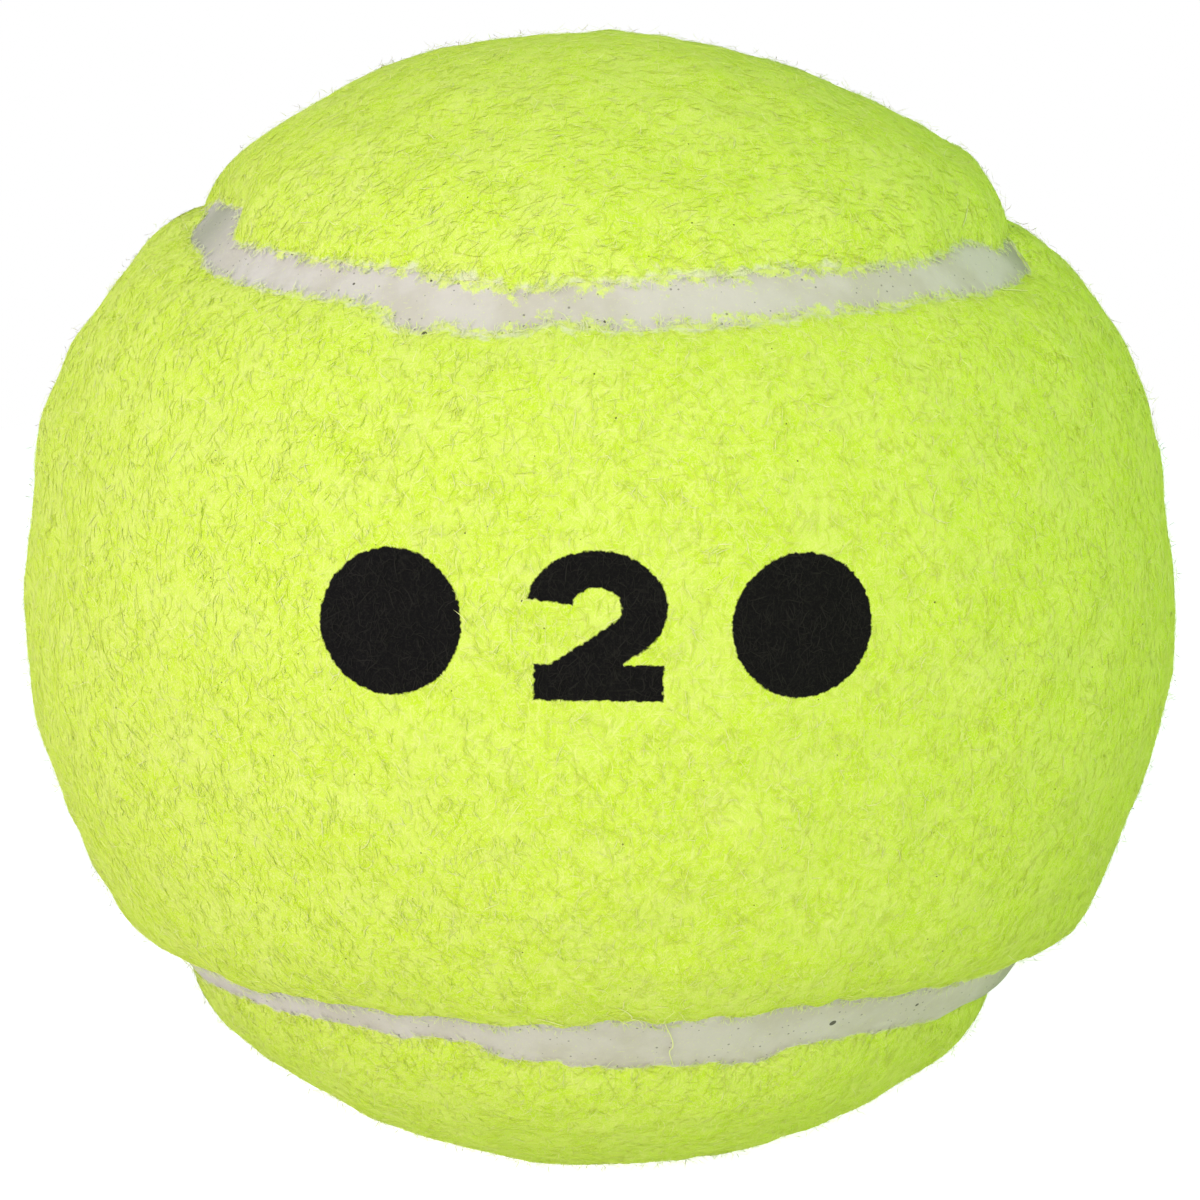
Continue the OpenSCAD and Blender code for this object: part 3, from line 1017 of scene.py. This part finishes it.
def core_material(name, colour, roughness):
    """Rubber or cement inside the ball: one colour with a faint cloud and a fine grain."""
    material, nodes, shader, where = new_material(name, roughness)
    cloud = nodes.noise(where, 300, 4.0, 0.6)
    dark = tuple(0.8 * part for part in colour[:3]) + (1.0,)
    nodes.feed(shader.inputs["Base Color"], nodes.mix(cloud, dark, colour))
    roughen(nodes, shader, 0.3, 0.00005, nodes.noise(where, 4000, 2.0))
    return material


# The camera: its lens and frame, its distance in radii of the ball, and how the ball is
# turned in front of it. The shift brings the ball to its place in the picture.
CAMERA_LENS = 41.4
CAMERA_FRAME = 36.0
CAMERA_DISTANCE = 2.6
VIEW_ROLL = np.radians(0.55)
VIEW_YAW = np.radians(0.33)
PICTURE_PIXELS = 1200
BALL_RIGHT_PIXELS = -1
BALL_UP_PIXELS = 4


def place_camera():
    """The camera, placed by undoing the ball's turn by yaw, roll and rise."""
    data = bpy.data.cameras.new("camera")
    data.lens = CAMERA_LENS
    data.sensor_width = CAMERA_FRAME
    data.clip_start = 0.001
    camera = new_object("camera", data)
    data.shift_x = -BALL_RIGHT_PIXELS / PICTURE_PIXELS
    data.shift_y = -BALL_UP_PIXELS / PICTURE_PIXELS
    turned = (Matrix.Rotation(VIEW_YAW, 3, "Z") @ Matrix.Rotation(VIEW_ROLL, 3, "Y")
              @ Matrix.Rotation(VIEW_RISE, 3, "X")).transposed()
    camera.location = turned @ Vector((0, -CAMERA_DISTANCE * FELT_R * MM, 0))
    camera.rotation_euler = (turned @ Matrix.Rotation(np.pi / 2, 3, "X")).to_euler()
    bpy.context.scene.camera = camera


def place_light(name, where, size, power, colour):
    """A square soft light at a place in metres, aimed at the ball."""
    data = bpy.data.lights.new(name, "AREA")
    data.size = size
    data.energy = power
    data.color = colour
    light = new_object(name, data)
    light.location = where
    light.rotation_euler = (-Vector(where)).to_track_quat("-Z", "Y").to_euler()


def white_to_camera(nodes):
    """A value that is 1 for camera, glossy and transmission rays alone, with which the backdrop
    is made white without lighting anything."""
    path = nodes.add("ShaderNodeLightPath")
    seen = nodes.math("MAXIMUM", path.outputs["Is Camera Ray"], path.outputs["Is Glossy Ray"])
    return nodes.math("MAXIMUM", seen, path.outputs["Is Transmission Ray"])


# Half the floor's width and its distance under the ball in metres, and its glow to the camera
FLOOR_HALF = 2.0
FLOOR_GAP = 0.0002
FLOOR_GLOW = 0.85


def make_floor():
    """The plain white floor, which takes the ball's shadow."""
    mesh = bpy.data.meshes.new("floor")
    low = -FELT_R * MM - FLOOR_GAP
    half = FLOOR_HALF
    corners = [(-half, -half, low), (half, -half, low), (half, half, low), (-half, half, low)]
    mesh.from_pydata(corners, [], [(0, 1, 2, 3)])
    material, nodes, shader = new_material("Floor", 1.0, 0.0)[:3]
    nodes.feed(shader.inputs["Base Color"], (0.8, 0.8, 0.8, 1.0))
    nodes.feed(shader.inputs["Emission Color"], (1.0, 1.0, 1.0, 1.0))
    nodes.feed(shader.inputs["Emission Strength"], nodes.times(white_to_camera(nodes), FLOOR_GLOW))
    mesh.materials.append(material)
    new_object("floor", mesh)


# The surrounding's colour, greenish as the cover's own glow
SOFT_LIGHT = (0.59, 1.0, 0.72, 1.0)


def make_world(level, frontal, low):
    """A pale surrounding that gives more light from the front than from behind and from below
    than from above, level * (1 - frontal * y - low * z) for a direction's y and z, and is pure
    white where the camera sees it."""
    world = bpy.data.worlds.new("world")
    world.use_nodes = True
    back = world.node_tree.nodes["Background"]
    nodes = Nodes(world.node_tree)
    seen = white_to_camera(nodes)
    nodes.feed(back.inputs["Color"], nodes.mix(seen, SOFT_LIGHT, (1.0, 1.0, 1.0, 1.0)))
    way = nodes.add("ShaderNodeSeparateXYZ", {0: nodes.add("ShaderNodeTexCoord").outputs["Generated"]})
    given = nodes.minus(level, nodes.times(way.outputs[1], level * frontal))
    given = nodes.minus(given, nodes.times(way.outputs[2], level * low))
    strength = nodes.plus(nodes.times(given, nodes.minus(1.0, seen)), seen)
    nodes.feed(back.inputs["Strength"], strength)
    bpy.context.scene.world = world


def build():
    """The whole ball: both panels with their nap, the rubber, the stray fibres, the inside."""
    cloth = cloth_material()
    nap = nap_material()
    for panel in (FRONT, BACK):
        piece, points, face = felt_cloth(panel, cloth)
        covers = [nap_piece(panel, name, kind, number, points, face, nap)
                  for name, kind, pieces in NAP_PIECES for number in range(pieces)]
    seam_rubber(seam_material())
    stray_fibres(nap)
    for name, colour, roughness, inner in (
            ("Core rubber", CORE_RUBBER, 0.6, ("core_shell_upper", "core_shell_lower")),
            ("Joint cement", CEMENT, 0.45, ("core_joint_cement",)),
            ("Cover cement", CEMENT, 0.5, ("cover_cement",))):
        material = core_material(name, colour, roughness)
        for node in inner:
            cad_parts[node].material_slots[0].material = material


build()
place_camera()
make_floor()
make_world(1.02, 0.48, 0.90)
place_light("key", (-0.31, -0.48, 0.02), 0.70, 4.15, (1.0, 0.55, 0.92))
place_light("fill", (0.46, -0.38, -0.03), 0.40, 1.05, (1.0, 0.66, 0.07))
bpy.context.scene.view_settings.view_transform = "Standard"
